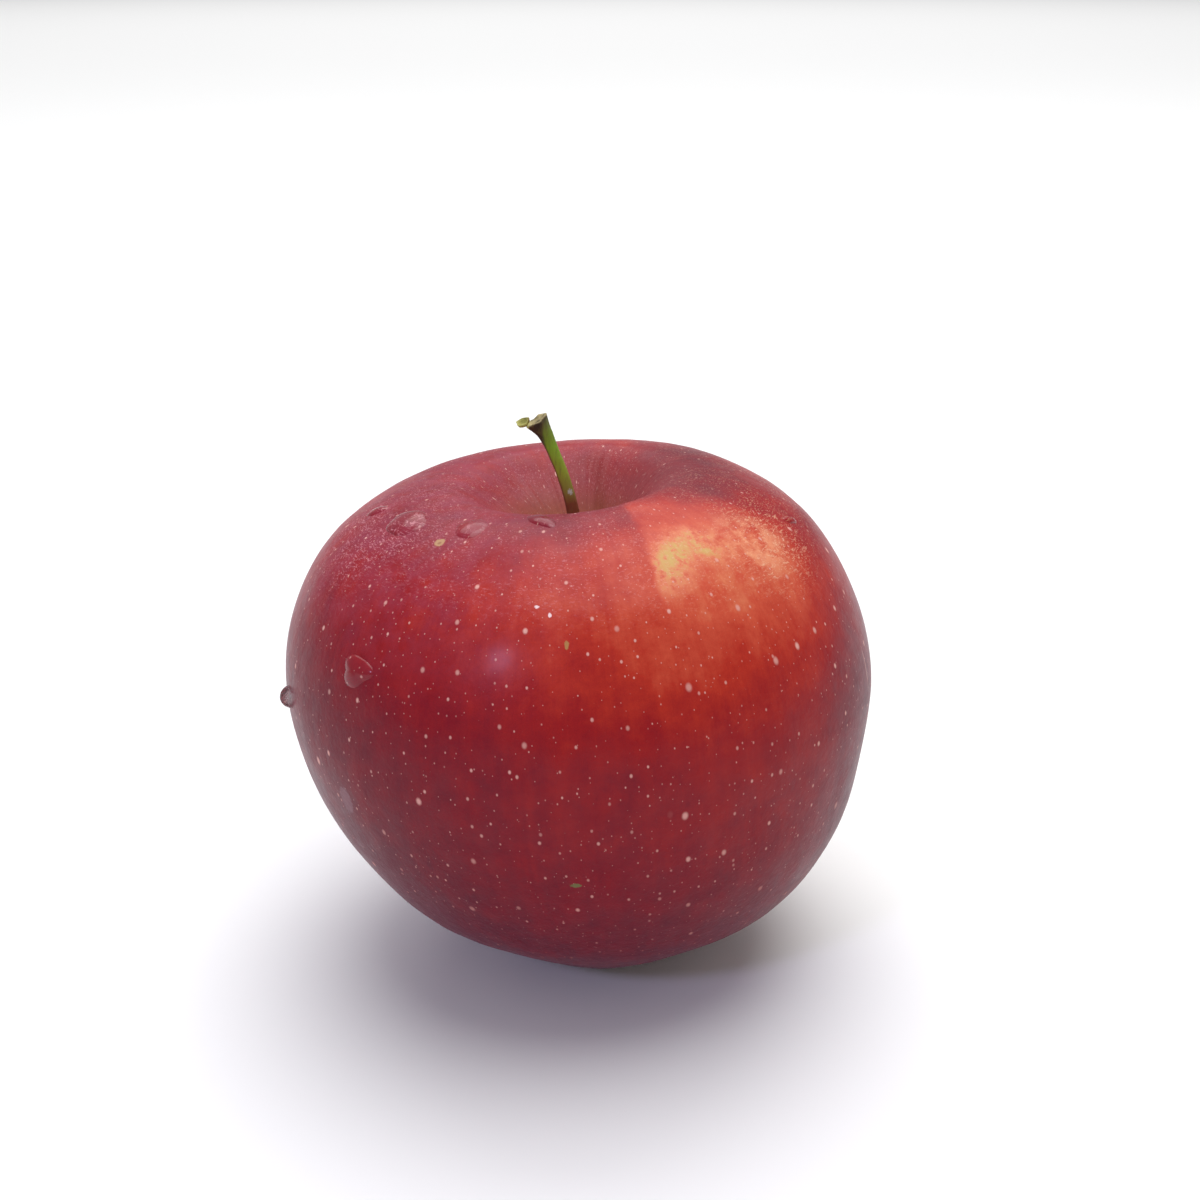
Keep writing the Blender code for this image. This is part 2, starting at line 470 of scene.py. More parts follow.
# %% [markdown]
# ## The skin
#
# An apple's skin is a thin red layer over a yellow ground. Where the sun reached it the red is deep as
# wine, where it is thinner it turns scarlet and coral, and where a leaf lay on it the yellow shows. We could
# paint that on a texture, but paint blurs when one looks closely. So one number at each point, the redness,
# runs through a colour ramp. We add up what changes it: the sunny side, the shaded side, a leaf's shadow
# with one sharp edge, streaks that run from stem to eye, and a fine mottle. Painted shade also deepens the
# red towards the bottom of the fruit.

# %% A new material, and the coordinates that its patterns read


def new_material(name, constants):
    """A material with these constants on its Principled shader; they are never driven by nodes."""
    material = bpy.data.materials.new(name)
    material.use_nodes = True
    graph = Graph(material.node_tree)
    shader = material.node_tree.nodes["Principled BSDF"]
    for socket, constant in constants.items():
        shader.inputs[socket].default_value = constant
    return material, graph, shader


def connect(graph, shader, inputs):
    """Link what changes over the surface to the shader."""
    for name, value in inputs.items():
        graph.tree.links.new(value.socket, shader.inputs[name])


def object_place(graph):
    """Where a point is on the apple, in millimetres."""
    coordinates = graph.node("ShaderNodeTexCoord")
    return graph.scaled(Value(graph, coordinates.outputs["Object"]), (1 / MM, 1 / MM, 1 / MM))


def growth_place(graph):
    """Where a point grew, round the fruit and down from the stem, in millimetres."""
    growth = graph.value("ShaderNodeAttribute", "Vector", {"attribute_name": "growth"})
    return graph.scaled(growth, (1 / MM, 1 / MM, 1 / MM))


def spot(graph, place, centre, inner, outer):
    """1 within the inner distance of a centre, 0 past the outer one."""
    return graph.vector("DISTANCE", place, centre, output="Value").step(outer, inner)


def oval_spot(graph, place, centre, radii, inner=0.3, outer=1.6):
    """Like spot, with the distance measured in radii that differ by direction."""
    apart = graph.vector("SUBTRACT", place, centre)
    stretched = graph.scaled(apart, tuple(1 / radius for radius in radii))
    return graph.vector("LENGTH", stretched, output="Value").step(outer, inner)


# %% How red the skin is at each point, with painted shade low down

REDNESS_RAMP = [
    (0.00, (0.60, 0.37, 0.115, 1)),
    (0.14, (0.68, 0.19, 0.088, 1)),
    (0.28, (0.58, 0.080, 0.038, 1)),
    (0.44, (0.44, 0.026, 0.013, 1)),
    (0.60, (0.305, 0.008, 0.010, 1)),
    (0.78, (0.205, 0.003, 0.012, 1)),
    (1.00, (0.115, 0.002, 0.014, 1)),
]
MIDDLE_RED = 0.42


def draw_leaf_shadow(graph, place):
    """How pale a leaf kept the right shoulder, and which side of its sharp left edge it covered."""
    wander = graph.noise(place, 0.24, 5.0, 0.66) - 0.5
    x, y, _ = graph.parts(place)
    edge = x + y * 0.25 - 2.5 + wander * 2.0
    blush = oval_spot(graph, place, (19.0, -19.5, 64.0), (9.5, 11.0, 7.5), 0.35, 1.5)
    golden = oval_spot(graph, place, (11.2, -24.2, 66.0), (3.4, 6.0, 4.0), 0.05, 1.5)
    arm = oval_spot(graph, place, (15.2, -20.0, 67.0), (5.0, 2.8, 3.0), 0.10, 1.5)
    fine = graph.noise(place, 1.1, 4.0, 0.65) - 0.5
    torn = (wander * 3.2 + fine * 3.0 + 0.72).clamped()
    pale = golden.at_least(arm * 0.75) * 0.33 * torn
    covered = edge.step(-0.6, 0.8)
    return (blush * 0.10 + pale) * covered, covered * y.step(-6.0, -15.0)


def draw_redness_and_shade(graph, place, growth):
    """0 where the yellow ground shows, 1 where the red is deepest. Painted shade adds to it towards the
    bottom.
    """
    x, y, z = graph.parts(place)
    radius = (x * x + y * y) ** 0.5
    # Painted shade: the red deepens towards the bottom of the fruit.
    painted_shade_below = z.step(63.0, 42.0) * 0.27 + z.step(44.0, 10.0) * 0.26
    left = x.step(2.0, -34.0) * 0.22
    top = z.step(62.0, 68.5) * (x - y * 0.5).step(19.0, 3.0) * 0.17
    right = x.step(1.0, 16.0) * x.step(37.0, 27.0) * z.step(38.0, 58.0) * 0.09
    rim = x.step(27.0, 39.0) * 0.24
    behind = y.step(-18.0, -6.0) * z.step(58.0, 65.0) * x.step(4.0, 18.0) * 0.26
    crown = radius.step(26.0, 17.0) * radius.step(8.0, 13.0) * (y - x * 1.4).step(6.0, -14.0) * 0.24
    broad = graph.noise(place, 0.04, 3.0) - 0.5
    streaks = graph.noise(graph.scaled(growth, (1, 1, 0.06)), 0.28, 5.0, 0.62) - 0.5
    hairs = graph.noise(graph.scaled(growth, (1, 1, 0.07)), 1.5, 3.0, 0.6) - 0.5
    mottle = graph.noise(place, 0.26, 6.0, 0.66) - 0.5
    pale, covered = draw_leaf_shadow(graph, place)
    redness_and_shade = MIDDLE_RED + painted_shade_below + left - right + rim + behind + (top + crown) * (1 - covered * 0.85)
    redness_and_shade = redness_and_shade + broad * 0.22 + streaks * 0.18 + hairs * 0.09 + mottle * 0.40
    return redness_and_shade - pale * 0.9


print("redness runs through", len(REDNESS_RAMP), "colours")

# %% The dots

DOT_LAYERS = [
    # cells per mm, share of cells with a dot, smallest and largest radius in mm, strength
    (0.16, 0.80, 0.22, 0.52, 1.00),
    (0.36, 0.60, 0.11, 0.24, 0.90),
    (0.80, 0.42, 0.07, 0.13, 0.65),
]


def draw_dots(graph, growth):
    """Pale dots of three sizes. Each cell of a flat Voronoi pattern may hold one dot of its own size."""
    around, across, along = graph.parts(growth)
    flat = graph.joined(around.angle_of(across * -1) * (FRUIT_SIZES["Half Width"] / MM), along, 0.0)
    total = None
    for cells, share, smallest, largest, strength in DOT_LAYERS:
        settings = {"feature": "F1", "distance": "EUCLIDEAN", "voronoi_dimensions": "2D"}
        pattern = graph.node("ShaderNodeTexVoronoi", settings, {"Vector": flat, "Scale": cells})
        distance = Value(graph, pattern.outputs["Distance"]) / cells
        chance, size, tone = graph.parts(Value(graph, pattern.outputs["Color"]))
        radius = size * size * (largest - smallest) + smallest
        dot = (distance / radius).step(1.15, 0.35) * chance.step(share + 0.01, share) * strength
        dot = dot * (tone * 0.5 + 0.5)
        total = dot if total is None else total.at_least(dot)
    return total


print("dots of", len(DOT_LAYERS), "sizes")

# %% The painted glints, and the marks that only this apple has


def draw_glints(graph, place, growth):
    """Painted highlights: fine pale glints in a crinkled, wavy pattern, on the shoulders and in the hollow.
    """
    z = graph.parts(place)[2]
    crinkled = graph.noise(graph.scaled(growth, (0.65, 0.65, 1.35)), 2.4, 2.0, 0.7, 0.6)
    wavy = graph.noise(graph.scaled(growth, (0.40, 0.40, 1.6)), 1.7, 3.0, 0.7, 1.0)
    patchy = graph.noise(place, 0.14, 3.0)
    left = oval_spot(graph, place, (-25.0, -9.0, 65.5), (11.0, 11.0, 8.0), 0.4, 1.7)
    right = oval_spot(graph, place, (23.5, -14.0, 65.0), (6.5, 7.0, 6.0), 0.4, 1.7)
    top = z.step(59.0, 65.5) * 0.42
    where = left.at_least(right).at_least(top) * patchy.step(0.30, 0.56)
    wavy_glints = wavy.step(0.56, 0.68) * (right * 1.1).at_least(left * 0.75)
    return (crinkled.step(0.55, 0.68) * where).at_least(wavy_glints).clamped()


MARKS = [
    # centre in mm, half sizes in mm, colour, strength
    ((-17.1, -18.6, 66.4), (0.70, 0.70, 1.0), (0.50, 0.30, 0.14, 1), 0.85),
    ((-17.1, -18.7, 66.4), (0.25, 0.25, 0.4), (0.25, 0.10, 0.04, 1), 0.60),
    ((-1.1, -34.1, 59.2), (0.28, 0.6, 0.6), (0.42, 0.30, 0.10, 1), 0.65),
    ((-0.1, -37.9, 29.2), (0.7, 0.9, 0.35), (0.14, 0.15, 0.05, 1), 0.85),
    ((-29.3, -26.0, 34.5), (1.3, 1.3, 2.2), (0.24, 0.11, 0.13, 1), 0.55),
    ((38.0, -11.4, 46.5), (1.5, 0.16, 3.4), (0.60, 0.30, 0.25, 1), 0.50),
    # The last two marks are painted highlights: small white glints.
    ((-4.6, -30.9, 62.7), (0.35, 0.25, 0.25), (0.95, 0.75, 0.75, 1), 0.85),
    ((-3.1, -31.9, 62.1), (0.22, 0.30, 0.30), (0.95, 0.75, 0.75, 1), 0.85),
]


def draw_marks(graph, place, colour):
    """Scabs, flecks and scratches that this one apple has, and two small painted highlights, each with a
    ragged edge.
    """
    ragged = graph.noise(place, 2.6, 3.0, 0.6) * 1.5
    for centre, sizes, paint, strength in MARKS:
        mark = oval_spot(graph, place, centre, sizes, 0.5, 1.5)
        colour = graph.blend((mark + ragged - 1.05).step(0.0, 0.55) * strength, colour, paint)
    return colour


print(len(MARKS), "marks")

# %% The colours of the skin, one over the other

CREAM = (0.84, 0.36, 0.19, 1)
BLOOM_AND_SHEEN = (0.33, 0.080, 0.145, 1)
RUSSET_RIM, RUSSET_DEEP = (0.27, 0.070, 0.075, 1), (0.33, 0.17, 0.070, 1)
EYE_BROWN = (0.40, 0.22, 0.075, 1)
PAINTED_GLINT_PINK, PAINTED_GLINT_GOLD = (0.74, 0.29, 0.33, 1), (0.86, 0.48, 0.30, 1)
DOT_SHADED_LOW, DOT_HIGH = (0.48, 0.17, 0.15, 1), (0.76, 0.40, 0.34, 1)


def draw_skin_colour(graph, place, growth):
    """The skin's colour with its painted shade, and the masks of its dots, its painted glints and its bloom,
    which is partly painted sheen.
    """
    x, y, z = graph.parts(place)
    radius = (x * x + y * y) ** 0.5
    redness_and_shade = draw_redness_and_shade(graph, place, growth)
    colour = graph.value("ShaderNodeValToRGB", "Color", {"stops": REDNESS_RAMP}, {"Fac": redness_and_shade})
    cream = oval_spot(graph, place, (22.0, -16.5, 65.5), (5.5, 4.5, 4.0), 0.2, 1.6)
    cloudy = graph.noise(place, 0.35, 4.0, 0.65)
    colour = graph.blend(cream * cloudy.step(0.34, 0.62) * 0.8, colour, CREAM)
    # Partly the skin's own waxy bloom, partly painted sheen: a mauve haze over the upper left shoulder.
    bloom = z.step(48.0, 66.0) * (x - y * 0.3).step(18.0, -16.0) * cloudy.step(0.20, 0.75)
    colour = graph.blend(bloom * 0.35, colour, BLOOM_AND_SHEEN)
    in_hollow = radius.step(16.0, 7.0) * z.step(46.0, 56.0)
    russet = graph.blend(z.step(66.0, 58.0), RUSSET_RIM, RUSSET_DEEP)
    colour = graph.blend(in_hollow * 0.72, colour, russet)
    round_eye = spot(graph, place, (2.3, 0.0, 5.0), 3.0, 10.0)
    rayed = graph.noise(graph.scaled(growth, (1, 1, 0.1)), 0.9, 3.0) + 0.25
    colour = graph.blend((round_eye * rayed).clamped() * 0.75, colour, EYE_BROWN)
    # Painted highlights: pale glints, pink on the left and golden on the right.
    glints = draw_glints(graph, place, growth)
    painted_glint_colour = graph.blend(x.step(0.0, 18.0), PAINTED_GLINT_PINK, PAINTED_GLINT_GOLD)
    colour = graph.blend(glints * 0.72, colour, painted_glint_colour)
    dots = draw_dots(graph, growth)
    # Painted shade: the dots are darker towards the bottom.
    dot_colour = graph.blend(z.step(12.0, 52.0), DOT_SHADED_LOW, DOT_HIGH)
    colour = graph.blend(dots, colour, dot_colour)
    return draw_marks(graph, place, colour), dots, glints, bloom


print("bloom", BLOOM_AND_SHEEN[:3], "russet", RUSSET_DEEP[:3], "flecks", PAINTED_GLINT_PINK[:3], PAINTED_GLINT_GOLD[:3])

# %% The finished skin, on a grown apple


WAX_FINISH = {
    "Specular IOR Level": 0.12,
    "Coat Roughness": 0.22,
    "Sheen Weight": 0.03,
    "Sheen Roughness": 0.4,
    "Sheen Tint": (0.80, 0.62, 0.98, 1),
}


def make_skin():
    """Waxy skin: soft gloss, pits as fine as pores, and dots that stand up a little."""
    material, graph, shader = new_material("waxy_apple_skin", WAX_FINISH)
    place = object_place(graph)
    colour, dots, glints, bloom = draw_skin_colour(graph, place, growth_place(graph))
    rough = graph.noise(place, 0.8, 3.0) * 0.2 + 0.32 + dots * 0.15 + bloom * 0.08
    pits = graph.noise(place, 1.3, 3.0, 0.6)
    relief = {"Strength": 0.30, "Distance": 0.25 * MM, "Height": pits + dots * 0.7 + glints * 0.6}
    bump = graph.value("ShaderNodeBump", 0, None, relief)
    coat = graph.noise(place, 0.25, 2.0) * 0.26
    finish = {"Base Color": colour, "Roughness": rough, "Normal": bump, "Coat Weight": coat}
    connect(graph, shader, finish)
    print("the skin has", len(graph.tree.nodes), "nodes")
    return material


skin = make_skin()
fruit_outline = add_curve("fruit_outline", [(radius, 0, height) for radius, height in outline])
settings = {**FRUIT_SIZES, "Columns": COLUMNS, "Rows": ROWS, "Material": skin}
apple = grow(fruit_outline, fruit_tree, settings, "apple_skin_surface")
tuft_low, tuft_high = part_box("stamen_tuft")
eye = (tuft_low + tuft_high) / 2
home = eye - Vector((FRUIT_SIZES["Base Shift"], 0, 0))
apple.data.transform(Matrix.Translation((home.x, home.y, 0)))
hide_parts("fruit")
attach(apple, "root")

# %% [markdown]
# ## Bark and dry leaves
#
# The stem and the five sepals are the same kind of thing: a closed body round a path in one upright plane,
# round or flat. A curve with a bevel would give a bare tube. So we write one tree that serves all six. It
# bends a grid round the path as the fruit's tree does round the outline. Its inputs make the section flat,
# curl it across, dish the far end and tear its rim.

# %% A tree for bodies round a path

END_SHARE = 0.05
PATH_SIZES = {
    "Width": 1.0,
    "Thickness": 1.0,
    "Cross Curl": 0.0,
    "Dish Depth": 0.0,
    "Torn Depth": 0.0,
    "Roughness Depth": 0.0,
    "Grain": 1500.0,
}


def draw_path_tree():
    """From a flat grid to a closed body round a path in the XZ plane."""
    graph, given = new_tree("body_round_path", PATH_SIZES, ("Columns", "Rows"))
    size = {"Size X": 1.0, "Size Y": 1.0, "Vertices X": given["Columns"], "Vertices Y": given["Rows"]}
    grid = graph.value("GeometryNodeMeshGrid", "Mesh", None, size)
    around, along, _ = graph.parts(graph.value("GeometryNodeInputPosition", 0))
    turn, share = (around + 0.5) * math.tau, 0.5 - along
    body = ((share - END_SHARE) / (1 - 2 * END_SHARE)).clamped()
    start, finish = (share / END_SHARE).clamped(), ((1 - share) / END_SHARE).clamped()

    thickness = graph.value("GeometryNodeInputRadius", 0)
    sample = {"Curves": given["Geometry"], "Factor": body, "Value": thickness}
    on_path = graph.node("GeometryNodeSampleCurve", {"mode": "FACTOR", "data_type": "FLOAT"}, sample)
    centre = Value(graph, on_path.outputs["Position"])
    tangent = Value(graph, on_path.outputs["Tangent"])
    radius = Value(graph, on_path.outputs["Value"])
    tangent_x, _, tangent_z = graph.parts(tangent)
    x, _, z = graph.parts(centre)

    ends = start * finish
    across = radius * given["Width"] * turn.cosine() * ends
    arch = given["Cross Curl"] * (across * across / (radius * given["Width"]).at_least(1e-5))
    out = radius * given["Thickness"] * turn.sine() * ends + arch
    torn = graph.noise(graph.joined(turn.cosine(), turn.sine(), 0.0), 1.3, 3.0) - 0.5
    lift = torn * given["Torn Depth"] * body.step(0.94, 1.0) * finish.step(0.0, 0.8)
    lift = lift - given["Dish Depth"] * finish.step(1.0, 0.55)
    place = graph.joined(
        x - tangent_z * out + tangent_x * lift, across, z + tangent_x * out + tangent_z * lift
    )
    stored = store(graph, grid, "growth", graph.joined(turn.cosine() * ends, turn.sine() * ends, share))
    bent = move(graph, stored, Position=place)
    seam = {"Geometry": bent, "Distance": MERGE_DISTANCE}
    closed = graph.value("GeometryNodeMergeByDistance", 0, None, seam)
    here = graph.value("GeometryNodeInputPosition", 0)
    grain = graph.noise(graph.scaled(here, (1, 1, 0.3)), given["Grain"], 3.0) - 0.5
    rough = grain * given["Roughness Depth"]
    close_tree(graph, push_out(graph, closed, rough), given["Material"])
    return graph


path_tree = draw_path_tree()

# %% [markdown]
# ## The stem
#
# The stem is a green twig that widens where it was torn from the tree, with a curled scrap of bark beside
# the tear. Its path and widths are a short table. One colour ramp runs along it from red-brown in the
# hollow to green and then to the dark torn end, and the scrap is a small cup, joined to the same mesh.

# %% The bark's colours

BARK_STOPS = [
    # share of the stem's length from its seat, and colour
    (0.00, (0.15, 0.040, 0.020, 1)),
    (0.50, (0.20, 0.060, 0.025, 1)),
    (0.56, (0.26, 0.24, 0.045, 1)),
    (0.66, (0.31, 0.38, 0.035, 1)),
    (0.80, (0.22, 0.39, 0.018, 1)),
    (0.885, (0.17, 0.23, 0.022, 1)),
    (0.935, (0.070, 0.050, 0.018, 1)),
]


def make_bark():
    """Green bark with a red-brown foot, dark flecks, a pale spot and a dark torn end, with painted shade
    down its left side and inside the curled scrap.
    """
    material, graph, shader = new_material("green_bark", {"Specular IOR Level": 0.35})
    place = object_place(graph)
    growth = graph.value("ShaderNodeAttribute", "Vector", {"attribute_name": "growth"})
    _, out, share = graph.parts(growth)
    blotches = graph.noise(graph.scaled(place, (1, 1, 0.3)), 1.1, 4.0, 0.6)
    waver = share + (blotches - 0.5) * 0.07
    colour = graph.value("ShaderNodeValToRGB", "Color", {"stops": BARK_STOPS}, {"Fac": waver})
    # Partly the bark's own red-brown, partly painted shade: the stem's left edge is darker.
    red_brown_and_shade = (out + blotches * 0.5).step(0.75, 1.15) * share.step(0.95, 0.85)
    colour = graph.blend(red_brown_and_shade * 0.9, colour, (0.16, 0.040, 0.025, 1))
    # Partly the torn end's own dark brown, partly painted shade: near black below the rim on the left side.
    dark_end_and_shade = (out * 0.7 + waver * 6.0).step(5.15, 5.60) * share.step(0.962, 0.948)
    colour = graph.blend(dark_end_and_shade * 0.9, colour, (0.030, 0.018, 0.010, 1))
    rim = share.step(0.938, 0.952) * share.step(0.990, 0.965)
    colour = graph.blend(rim * blotches.step(0.28, 0.50), colour, (0.44, 0.36, 0.17, 1))
    flaky = graph.noise(place, 4.0, 3.0, 0.6) * 1.6
    # A small ragged pale spot near the stem's foot.
    pale_spot = oval_spot(graph, place, (-1.0, -1.0, 67.4), (0.7, 0.8, 0.6), 0.2, 1.5)
    colour = graph.blend((pale_spot + flaky - 1.25).step(0.0, 0.4) * 0.9, colour, (0.52, 0.56, 0.50, 1))
    streaky = graph.noise(graph.scaled(place, (1, 1, 0.15)), 2.4, 3.0, 0.6)
    colour = graph.blend(streaky.step(0.52, 0.68) * 0.45, colour, (0.13, 0.10, 0.025, 1))
    x, _, z = graph.parts(place)
    scrap = x.step(-6.4, -6.9) * z.step(75.5, 76.1)
    # Painted shade: the scrap is near black inside its cup.
    cup_shade = spot(graph, place, (-7.45, -0.1, 77.3), 0.35, 0.75)
    scrap_colour = graph.blend(cup_shade * 0.9, (0.42, 0.40, 0.11, 1), (0.10, 0.085, 0.020, 1))
    colour = graph.blend(scrap, colour, scrap_colour)
    rough = blotches * 0.3 + 0.42
    grain = graph.noise(graph.scaled(place, (1, 1, 0.12)), 3.0, 4.0, 0.65)
    relief = {"Strength": 0.45, "Distance": 0.2 * MM, "Height": grain}
    bump = graph.value("ShaderNodeBump", 0, None, relief)
    connect(graph, shader, {"Base Color": colour, "Roughness": rough, "Normal": bump})
    return material


bark = make_bark()
print("the bark has", len(bark.node_tree.nodes), "nodes")

# %% The stem, its torn end and the curled scrap

STEM_DIAMETER = 1.7
STEM_PATH = [
    # lean to the side and rise above its seat in mm, and width in stem diameters
    (0.00, 0.0, 1.08),
    (0.00, 3.0, 1.08),
    (-0.30, 6.5, 1.00),
    (-1.00, 11.5, 0.98),
    (-2.20, 16.0, 0.94),
    (-3.60, 19.7, 0.98),
    (-4.45, 21.7, 1.16),
    (-5.15, 22.9, 1.52),
    (-5.75, 23.8, 1.95),
]
SCRAP_PLACE = (-7.45, 0.0, 23.35)
SCRAP_LEAN = (math.radians(24), math.radians(-20))
SCRAP_SIDES = 24
SCRAP_OUTLINE = [
    # radius and height of a small open cup in mm, down its outside and up its inside
    (0.0, -0.42),
    (0.45, -0.40),
    (0.78, -0.12),
    (0.88, 0.30),
    (0.76, 0.34),
    (0.62, 0.0),
    (0.35, -0.2),
    (0, -0.22),
]


def join_rings(work, rings):
    """Faces from ring to ring of vertices, where the first and the last ring are one point each."""
    faces = []
    for first, second in zip(rings, rings[1:]):
        sides = max(len(first), len(second))
        for k in range(sides):
            n = (k + 1) % sides
            if len(first) == 1:
                corners = (first[0], second[k], second[n])
            elif len(second) == 1:
                corners = (first[k], second[0], first[n])
            else:
                corners = (first[k], second[k], second[n], first[n])
            faces.append(work.faces.new(corners))
    bmesh.ops.recalc_face_normals(work, faces=faces)


def add_scrap(mesh, place):
    """Join a small curled cup to a mesh: an outline turned round an axis that leans to the left."""
    work = bmesh.new()
    work.from_mesh(mesh)
    forward, sideways = (Matrix.Rotation(a, 4, axis) for a, axis in zip(SCRAP_LEAN, "XY"))
    lean = Matrix.Translation(place) @ forward @ sideways
    rings = []
    for radius, height in SCRAP_OUTLINE:
        ring = []
        for k in range(SCRAP_SIDES if radius else 1):
            turn = math.tau * k / SCRAP_SIDES
            reach = radius * (1 + 0.10 * math.sin(3 * turn + 1) + 0.06 * math.sin(5 * turn))
            point = Vector((reach * math.cos(turn) * 1.05, reach * math.sin(turn) * 0.9, height))
            point.z += 0.10 * radius * math.sin(2 * turn + 0.5)
            ring.append(work.verts.new(lean @ (point * MM)))
        rings.append(ring)
    join_rings(work, rings)
    work.to_mesh(mesh)
    work.free()
    mesh.shade_smooth()


seat = Vector((home.x, home.y, stem_low.z))
stem_points = smooth_through(STEM_PATH, 6)
stem_path = add_curve(
    "stem_path",
    [(lean * MM, 0, rise * MM) for lean, rise, width in stem_points],
    [STEM_DIAMETER / 2 * width * MM for lean, rise, width in stem_points],
)
sizes = {**PATH_SIZES, "Dish Depth": 0.45 * MM, "Torn Depth": 0.9 * MM, "Roughness Depth": 0.16 * MM}
sizes.update({"Columns": 48, "Rows": 150, "Material": bark})
stem = grow(stem_path, path_tree, sizes, "stem_bark_surface")
add_scrap(stem.data, Vector(SCRAP_PLACE) * MM)
stem.data.transform(Matrix.Translation(seat))
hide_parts("stem")
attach(stem, "root")

# %% [markdown]
# ## The eye
#
# Under the fruit sits what is left of the flower: five sepals, dried and curled outward, and the stamens
# inside. Each sepal could be drawn by itself, but the tree for bodies round a path already makes it, so a
# sepal is a path, a curl and a direction, which it takes from the plain model's sepal. The stamens repeat:
# they are one filament with its anther, copied round a ring, each with its own turn and lean.

# %% Five dry sepals

SEPAL_WIDTH = 2.2
SEPAL_PATH = [
    # distance from the eye's middle and height in mm, and share of the width
    (3.20, 4.68, 0.85),
    (2.50, 4.30, 1.00),
    (2.12, 3.50, 1.00),
    (2.22, 2.65, 0.86),
    (2.90, 1.85, 0.66),
    (3.90, 1.40, 0.42),
    (4.60, 1.55, 0.14),
]
SEPAL_TIP_REACH = (0.0, 0.7, -0.5, 0.4, -0.2)
SEPAL_CURLS = (0.25, 0.45, 0.10, 0.35, 0.20)


def make_dry_material(name, dark, light, scale):
    """Dry plant matter: one noise blends two browns and roughens the surface."""
    material, graph, shader = new_material(name, {"Specular IOR Level": 0.25})
    place = object_place(graph)
    blotches = graph.noise(graph.scaled(place, (1, 1, 0.5)), scale, 4.0, 0.65)
    colour = graph.blend(blotches.step(0.35, 0.65), dark, light)
    relief = {"Strength": 0.5, "Distance": 0.15 * MM, "Height": blotches}
    bump = graph.value("ShaderNodeBump", 0, None, relief)
    connect(graph, shader, {"Base Color": colour, "Roughness": blotches * 0.2 + 0.7, "Normal": bump})
    return material


dry_leaf = make_dry_material("dry_sepal", (0.10, 0.055, 0.022, 1), (0.30, 0.24, 0.13, 1), 2.5)
for number, (reach, curl) in enumerate(zip(SEPAL_TIP_REACH, SEPAL_CURLS), start=1):
    low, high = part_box(f"sepal_{number}")
    toward = (low + high) / 2 - eye
    *root, tip = SEPAL_PATH
    points = smooth_through([*root, (tip[0] + reach, tip[1], tip[2])], 5)
    path = add_curve(
        "sepal_path",
        [(distance * MM, 0, height * MM) for distance, height, width in points],
        [SEPAL_WIDTH / 2 * width * MM for distance, height, width in points],
    )
    sizes = {**PATH_SIZES, "Thickness": 0.13, "Cross Curl": curl, "Roughness Depth": 0.12 * MM}
    sizes.update({"Columns": 28, "Rows": 60, "Material": dry_leaf})
    sepal = grow(path, path_tree, sizes, f"sepal_{number}_leaf")
    turn = Matrix.Rotation(math.atan2(toward.y, toward.x), 4, "Z")
    sepal.data.transform(Matrix.Translation((eye.x, eye.y, 0)) @ turn)
    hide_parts(f"sepal_{number}")
    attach(sepal, "root")

# %% Twenty stamens

STAMEN_SIZES = {
    "Filament Length": 3.4 * MM,
    "Filament Radius": 0.11 * MM,
    "Anther Radius": 0.30 * MM,
    "Ring Radius": 1.25 * MM,
    "Lean": 0.30,
}
GOLDEN_TURN = math.tau * 0.382


def draw_stamen_tree():
    """One filament with its anther, copied on points that fill a disc as seeds fill a sunflower."""
    graph, given = new_tree("stamens_in_ring", STAMEN_SIZES, ("Count", "Seed"))
    down = graph.joined(0.0, 0.0, 0.0 - given["Filament Length"])
    line = graph.value("GeometryNodeCurvePrimitiveLine", 0, None, {"Start": (0, 0, 0), "End": down})
    round_section = {"Resolution": 8, "Radius": given["Filament Radius"]}
    section = graph.value("GeometryNodeCurvePrimitiveCircle", "Curve", None, round_section)
    tube = {"Curve": line, "Profile Curve": section, "Fill Caps": True}
    filament = graph.value("GeometryNodeCurveToMesh", 0, None, tube)
    round_ball = {"Radius": given["Anther Radius"], "Subdivisions": 3}
    ball = graph.value("GeometryNodeMeshIcoSphere", "Mesh", None, round_ball)
    long_ball = {"Geometry": ball, "Translation": down, "Scale": (0.8, 0.55, 1.3)}
    anther = graph.value("GeometryNodeTransform", 0, None, long_ball)
    join = graph.node("GeometryNodeJoinGeometry")
    for part in (filament, anther):
        graph.tree.links.new(part.socket, join.inputs[0])

    points = graph.value("GeometryNodePoints", 0, None, {"Count": given["Count"]})
    index = graph.value("GeometryNodeInputIndex", 0)
    turn = index * GOLDEN_TURN
    reach = ((index + 0.5) / given["Count"]) ** 0.5 * given["Ring Radius"]
    spread = move(graph, points, Position=graph.joined(reach * turn.cosine(), reach * turn.sine(), 0.0))
    chance = {"Min": (-1.0, -1.0, 0.0), "Max": (1.0, 1.0, math.tau), "Seed": given["Seed"]}
    random_turn = graph.value("FunctionNodeRandomValue", 0, {"data_type": "FLOAT_VECTOR"}, chance)
    across, deep, spin = graph.parts(random_turn)
    rotation = graph.joined(across * given["Lean"], deep * given["Lean"], spin)
    copies = {"Points": spread, "Instance": Value(graph, join.outputs[0]), "Rotation": rotation}
    close_tree(graph, graph.value("GeometryNodeInstanceOnPoints", 0, None, copies), given["Material"])
    return graph


dry_thread = make_dry_material("dry_stamen", (0.045, 0.026, 0.014, 1), (0.16, 0.10, 0.05, 1), 4.0)
sizes = {**STAMEN_SIZES, "Count": 20, "Seed": 7, "Material": dry_thread}
start = add_object("stamen_start", bpy.data.meshes.new("stamen_start"))
stamens = grow(start, draw_stamen_tree(), sizes, "stamen_threads")
stamens.data.transform(Matrix.Translation((eye.x, eye.y, tuft_high.z - 0.2 * MM)))
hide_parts("stamen_tuft")
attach(stamens, "root")

